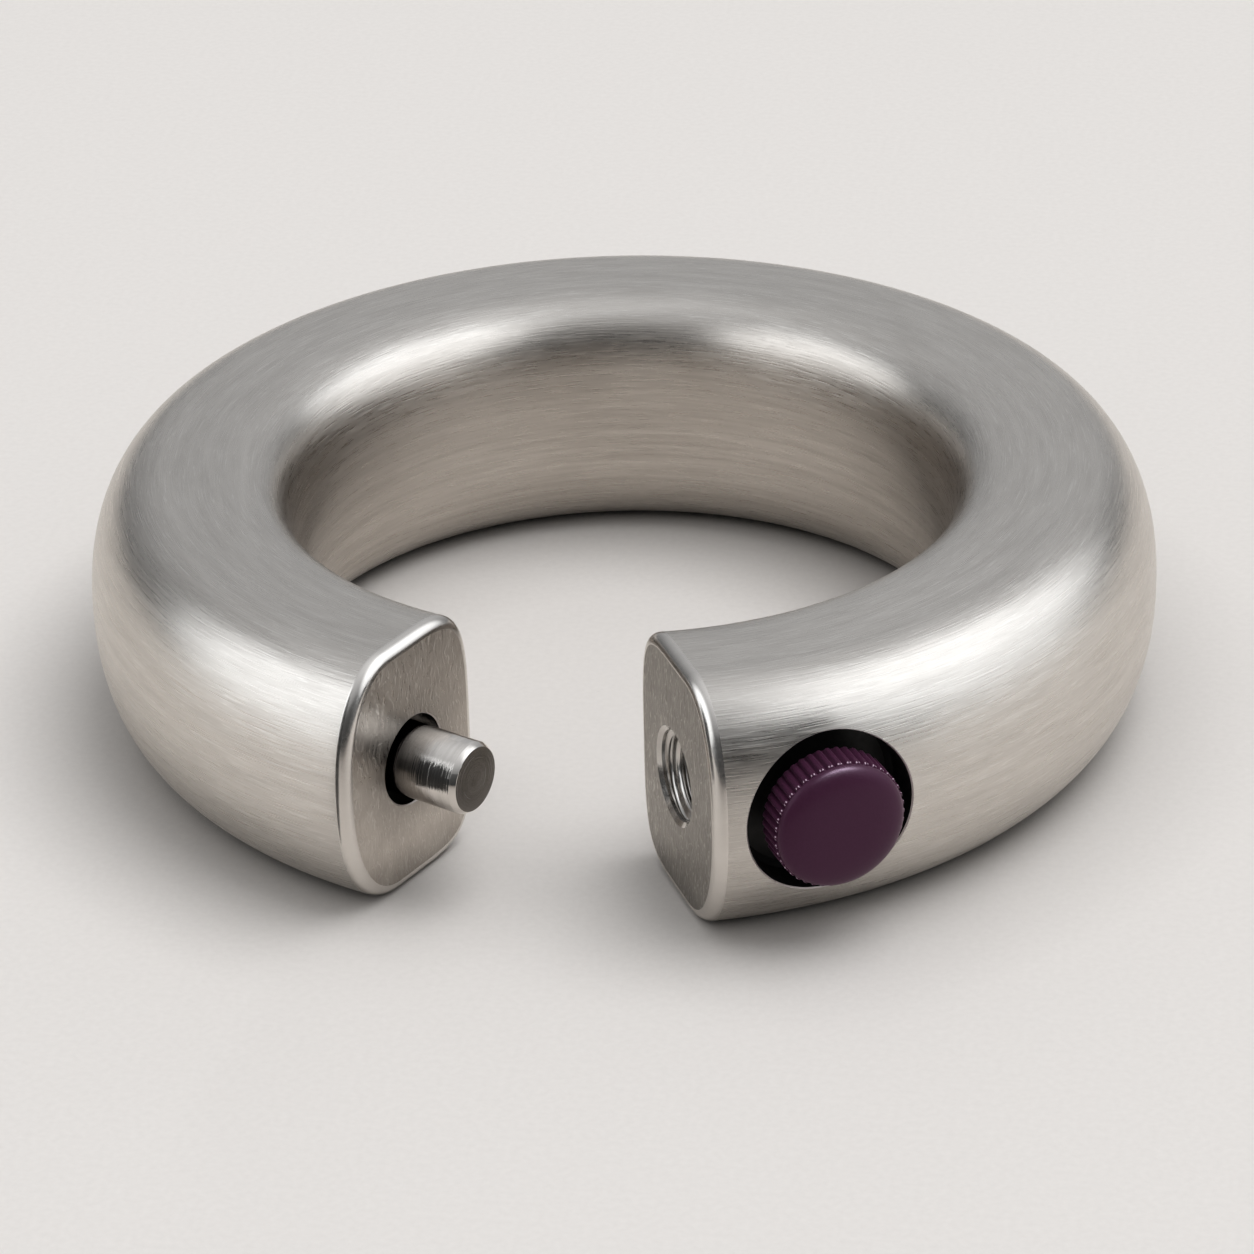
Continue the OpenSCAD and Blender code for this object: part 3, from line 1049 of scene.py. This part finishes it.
def softbox(name, azimuth, elevation, wide, tall, radiance):
    """A lamp seen from the ring at these angles in degrees, from the front, and of these widths."""
    az, el = math.radians(azimuth), math.radians(elevation)
    way = Vector((math.sin(az) * math.cos(el), -math.cos(az) * math.cos(el), math.sin(el)))
    width, height = (2 * LAMP_AWAY * math.tan(math.radians(x / 2)) for x in (wide, tall))
    light = bpy.data.lights.new(name, "AREA")
    light.shape, light.size, light.size_y = "RECTANGLE", width, height
    light.energy = radiance * math.pi * width * height
    light.color = LAMP_COLOR
    light.use_nodes = True
    tree = light.node_tree
    where = add(tree, "ShaderNodeNewGeometry").outputs["Parametric"]
    where = vector_node(tree, "SUBTRACT", where, (0.5, 0.5, 0)).outputs[0]
    away = vector_node(tree, "LENGTH", where).outputs["Value"]
    fade = add(tree, "ShaderNodeMapRange", {"Value": away, "From Min": FADE_START,
                                            "From Max": FADE_END, "To Min": 1.0, "To Max": 0.0},
               interpolation_type="SMOOTHSTEP").outputs["Result"]
    tree.links.new(fade, tree.nodes["Emission"].inputs["Strength"])
    obj = bpy.data.objects.new(name, light)
    bpy.context.scene.collection.objects.link(obj)
    obj.location = way * LAMP_AWAY
    obj.rotation_euler = (-obj.location).to_track_quat("-Z", "Y").to_euler()
    obj.visible_diffuse = False
    return obj


softbox("right_softbox", 90, 34, 96, 86, 1.54)
softbox("left_softbox", -64, 20, 86, 74, 1.70)
knob_light = softbox("knob_softbox", 62, 56, 50, 40, 40)
only_knob = bpy.data.collections.new("lit_by_the_knob_softbox")
only_knob.objects.link(knob)
knob_light.light_linking.receiver_collection = only_knob
print("softboxes:", sum(light.type == "AREA" for light in bpy.data.lights))

# %% [markdown]
# The floor and the plastic are lit evenly from overhead, by wide suns that the steel doesn't
# mirror. The narrower one stands a little to the right and behind, and lays the soft shadows to
# the left and in front.

# %% Overhead light
def ceiling(name, way, spread_angle, strength):
    """Even light from overhead, for the floor and the plastic. Steel doesn't mirror it."""
    light = bpy.data.lights.new(name, "SUN")
    light.angle, light.energy = math.radians(spread_angle), strength
    obj = bpy.data.objects.new(name, light)
    bpy.context.scene.collection.objects.link(obj)
    obj.rotation_euler = Vector(way).to_track_quat("Z", "Y").to_euler()
    obj.visible_glossy = False


ceiling("ceiling_panel", (0.36, 0.13, 1), 44, 1.43)
ceiling("ceiling_spill", (0, 0, 1), 150, 1.67)
print("suns:", sum(light.type == "SUN" for light in bpy.data.lights))

# %% [markdown]
# The room lights nothing and only shows in what shines, above all the steel. It is darker near the
# floor and lighter overhead, which leaves the dark lines that set off the ring's shoulders between
# the lamps' reflections. Soft lobes make it lighter or darker in some directions: lighter high up
# and behind, darker in front and to the right of the front.

# %% Room light
ROOM_LOW, ROOM_RISE, ROOM_CURVE = 0.13, 0.75, 1.3
LOBES = (
    ((0.37, 0.21, 0.9), 0.2, 5.0),
    ((0, 1, 0.1), 0.36, 6.0),
    ((0, -1, 0.1), -0.08, 4.0),
    ((0.5, -0.85, 0.2), -0.25, 12.0),
)
world = bpy.data.worlds.new("studio")
bpy.context.scene.world = world
world.use_nodes = True
world.cycles_visibility.diffuse = False
tree = world.node_tree
way = add(tree, "ShaderNodeTexCoord").outputs["Generated"]
upness = add(tree, "ShaderNodeSeparateXYZ", {0: way}).outputs["Z"]
upness = math_node(tree, "POWER", math_node(tree, "MAXIMUM", upness, 0.0), ROOM_CURVE)
glow = math_node(tree, "MULTIPLY_ADD", upness, ROOM_RISE, ROOM_LOW)
for towards, strength, tightness in LOBES:
    facing = vector_node(tree, "DOT_PRODUCT", way, Vector(towards).normalized()).outputs["Value"]
    lobe = math_node(tree, "POWER", math_node(tree, "MAXIMUM", facing, 0.0), tightness)
    glow = math_node(tree, "MULTIPLY_ADD", lobe, strength, glow)
background = tree.nodes["Background"]
tree.links.new(math_node(tree, "MAXIMUM", glow, 0.0), background.inputs["Strength"])
background.inputs["Color"].default_value = (0.97, 0.985, 1, 1)
print(world.name, len(tree.nodes), "nodes")

# %% [markdown]
# Photographers put dark lines into steel with black boards. A large one leans below the camera's
# view, and the ring's back shoulder mirrors it as the dark line between its two highlights. Two
# small ones are held near the ends. One stands off the left end: the pin mirrors it as its dark
# middle. The other hangs in front of the right end, whose skin mirrors it as a dark patch beside
# the rim. They are part of the light, so only reflections show them.

# %% Black boards
black = named("board_black")
bsdf_of(black).inputs["Base Color"].default_value = (0.01, 0.01, 0.01, 1)


def black_board(name, corner, wide, tall):
    """A board that shows only in the steel, from its first corner and its two sides in mm."""
    bpy.ops.object.select_all(action="DESELECT")
    bpy.ops.mesh.primitive_plane_add(size=1, location=(0, 0, 0))
    board = bpy.context.object
    board.name = board.data.name = name
    for v in board.data.vertices:
        v.co = (corner + (v.co.x + 0.5) * wide + (v.co.y + 0.5) * tall) * MM
    board.data.materials.append(black)
    board.visible_camera = board.visible_diffuse = board.visible_shadow = False
    print(name, round(wide.length), "by", round(tall.length), "mm")


board_turn = Matrix.Rotation(math.radians(12), 3, "Z")
near, far, width = Vector((0, -66, 4)), Vector((0, -235, 118)), Vector((180, 0, 0))
black_board("black_board", board_turn @ (near - width / 2), board_turn @ width,
            board_turn @ (far - near))
black_board("pin_card", APEX + 24.4 * along_face(-1) + 2 * into_ring(-1) + Vector((0, 0, 1)),
            14 * along_face(-1) - 4 * into_ring(-1), Vector((0, 0, 19)))
black_board("rim_card", Vector((13.82, -38.70, 11.71)), Vector((8.54, 6.93, 0)),
            Vector((-1.18, 1.45, 6.95)))
